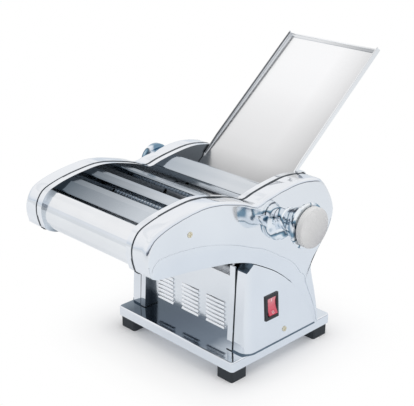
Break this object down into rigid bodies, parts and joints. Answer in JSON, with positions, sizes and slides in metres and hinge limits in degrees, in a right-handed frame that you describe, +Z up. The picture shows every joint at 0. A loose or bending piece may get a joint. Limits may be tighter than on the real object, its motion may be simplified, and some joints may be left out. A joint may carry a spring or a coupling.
{
  "type": "electric pasta roller machine",
  "caption": "Countertop pasta roller machine with smooth sheeting rollers, noodle cutters, a sloping feed tray, a thickness knob and an electric gear drive in the base.",
  "frame": {"origin": "on the table top, under the middle of the whole machine as seen from above, knobs and feed tray included", "axes": "+X towards the side with the switch and the grey knob; -Y towards the noodle-cutter nose; +Z up"},
  "size_m": [0.2925, 0.4442, 0.3687],
  "materials": {
    "chrome_shell": "polished",
    "bright_sheet": "polished sheet",
    "satin_steel": "satin",
    "dark_gearbox": "cast, matt",
    "motor_black": "matt",
    "rubber_black": "matt",
    "black_plastic": "satin",
    "red_plastic": "glossy",
    "grey_plastic": "matt",
    "bronze": "machined",
    "gear_steel": "machined",
    "roller_steel": "ground",
    "small_hardware": "plated"
  },
  "bodies": {
    "stand": {"base_tray": "chrome_shell", "rubber_feet": "rubber_black", "right_side_frame": "chrome_shell", "left_side_frame": "chrome_shell", "right_upper_cover": "chrome_shell", "left_upper_cover": "chrome_shell", "right_lower_housing": "chrome_shell", "left_lower_housing": "chrome_shell", "vent_panel": "bright_sheet", "back_panel": "bright_sheet", "deck_plate": "bright_sheet", "front_guard": "bright_sheet", "front_slat": "bright_sheet", "middle_slat": "bright_sheet", "rear_slat": "bright_sheet", "guide_plate": "satin_steel", "rear_shell": "bright_sheet", "tie_rods": "satin_steel", "rear_roller_bushes": "bronze", "cutter_bushes": "bronze", "idler_pins": "gear_steel", "idler_strap": "satin_steel", "knob_bushes": "bronze", "gearbox": "dark_gearbox", "motor": "motor_black", "motor_screws": "small_hardware", "switch_bezel": "black_plastic", "cover_screws": "small_hardware", "power_inlet": "black_plastic", "inlet_pins": "small_hardware", "roller_scrapers": "satin_steel"},
    "rear_roller": {"rear_roller_core": "roller_steel", "drive_gear": "gear_steel", "rear_roller_gear": "gear_steel"},
    "front_roller_carriage": {"bearing_blocks": "bronze"},
    "front_roller": {"front_roller_core": "roller_steel", "front_roller_gear": "gear_steel"},
    "first_idler": {"first_idler_gear": "bronze"},
    "second_idler": {"second_idler_gear": "bronze"},
    "third_idler": {"third_idler_gear": "bronze"},
    "wide_front_shaft": {"wide_cutter_front": "roller_steel", "wide_front_gear": "bronze"},
    "wide_rear_shaft": {"wide_cutter_rear": "roller_steel", "wide_rear_gears": "bronze"},
    "narrow_front_shaft": {"narrow_cutter_front": "roller_steel", "narrow_front_gears": "bronze"},
    "narrow_rear_shaft": {"narrow_cutter_rear": "roller_steel", "narrow_rear_gears": "bronze"},
    "motor_output": {"output_shaft": "gear_steel", "motor_pinion": "gear_steel"},
    "thickness_knob": {"right_knob": "chrome_shell", "knob_cap": "grey_plastic", "right_knob_shaft": "gear_steel"},
    "left_thickness_knob": {"left_knob": "chrome_shell", "left_knob_shaft": "gear_steel"},
    "rocker": {"switch_rocker": "red_plastic"},
    "tray": {"feed_tray": "satin_steel"}
  },
  "joints": [
    {"name": "rear_roller_turn", "type": "hinge", "parent": "stand", "child": "rear_roller", "pos_m": [-0.0209, 0.0322, 0.1779], "axis": [1, 0, 0], "continuous": true},
    {"name": "front_roller_gap", "type": "slide", "parent": "stand", "child": "front_roller_carriage", "axis": [0, -1, 0], "range_m": [0, 0.0025]},
    {"name": "front_roller_turn", "type": "hinge", "parent": "front_roller_carriage", "child": "front_roller", "pos_m": [-0.0209, -0.0078, 0.1779], "axis": [1, 0, 0], "continuous": true},
    {"name": "first_idler_turn", "type": "hinge", "parent": "stand", "child": "first_idler", "pos_m": [-0.0209, -0.02188, 0.16788], "axis": [1, 0, 0], "continuous": true},
    {"name": "second_idler_turn", "type": "hinge", "parent": "stand", "child": "second_idler", "pos_m": [-0.0209, -0.05327, 0.186], "axis": [1, 0, 0], "continuous": true},
    {"name": "third_idler_turn", "type": "hinge", "parent": "stand", "child": "third_idler", "pos_m": [-0.0209, -0.07908, 0.20576], "axis": [1, 0, 0], "continuous": true},
    {"name": "narrow_rear_turn", "type": "hinge", "parent": "stand", "child": "narrow_rear_shaft", "pos_m": [-0.0209, -0.1053, 0.2069], "axis": [1, 0, 0], "continuous": true},
    {"name": "narrow_front_turn", "type": "hinge", "parent": "stand", "child": "narrow_front_shaft", "pos_m": [-0.0209, -0.1253, 0.2069], "axis": [1, 0, 0], "continuous": true},
    {"name": "wide_rear_turn", "type": "hinge", "parent": "stand", "child": "wide_rear_shaft", "pos_m": [-0.0209, -0.1478, 0.2069], "axis": [1, 0, 0], "continuous": true},
    {"name": "wide_front_turn", "type": "hinge", "parent": "stand", "child": "wide_front_shaft", "pos_m": [-0.0209, -0.1678, 0.2069], "axis": [1, 0, 0], "continuous": true},
    {"name": "motor_output_turn", "type": "hinge", "parent": "stand", "child": "motor_output", "pos_m": [-0.0209, 0.03024, 0.13294], "axis": [1, 0, 0], "continuous": true},
    {"name": "thickness_knob_turn", "type": "hinge", "parent": "stand", "child": "thickness_knob", "pos_m": [-0.0209, -0.0098, 0.2049], "axis": [1, 0, 0], "range_deg": [0, 180]},
    {"name": "left_knob_turn", "type": "hinge", "parent": "stand", "child": "left_thickness_knob", "pos_m": [-0.0209, -0.0098, 0.2049], "axis": [1, 0, 0], "range_deg": [0, 180]},
    {"name": "power_rocker_tilt", "type": "hinge", "parent": "stand", "child": "rocker", "pos_m": [0.08251, -0.0168, 0.0836], "axis": [0, 1, 0], "range_deg": [0, 15]},
    {"name": "feed_tray_lift_off", "type": "slide", "parent": "stand", "child": "tray", "axis": [0, 0.7782, 0.628], "range_m": [0, 0.08]}
  ],
  "couplings": [
    {"joint": "front_roller_turn", "follows": "rear_roller_turn", "ratio": -1},
    {"joint": "first_idler_turn", "follows": "rear_roller_turn", "ratio": -1.75},
    {"joint": "second_idler_turn", "follows": "rear_roller_turn", "ratio": 2.1538},
    {"joint": "third_idler_turn", "follows": "rear_roller_turn", "ratio": -2.1538},
    {"joint": "narrow_rear_turn", "follows": "rear_roller_turn", "ratio": 3.5},
    {"joint": "narrow_front_turn", "follows": "rear_roller_turn", "ratio": -3.5},
    {"joint": "wide_rear_turn", "follows": "rear_roller_turn", "ratio": 3.5},
    {"joint": "wide_front_turn", "follows": "rear_roller_turn", "ratio": -3.5},
    {"joint": "motor_output_turn", "follows": "rear_roller_turn", "ratio": -3.5},
    {"joint": "front_roller_gap", "follows": "thickness_knob_turn", "m_per_rad": 0.0007957},
    {"joint": "left_knob_turn", "follows": "thickness_knob_turn", "ratio": 1}
  ]
}
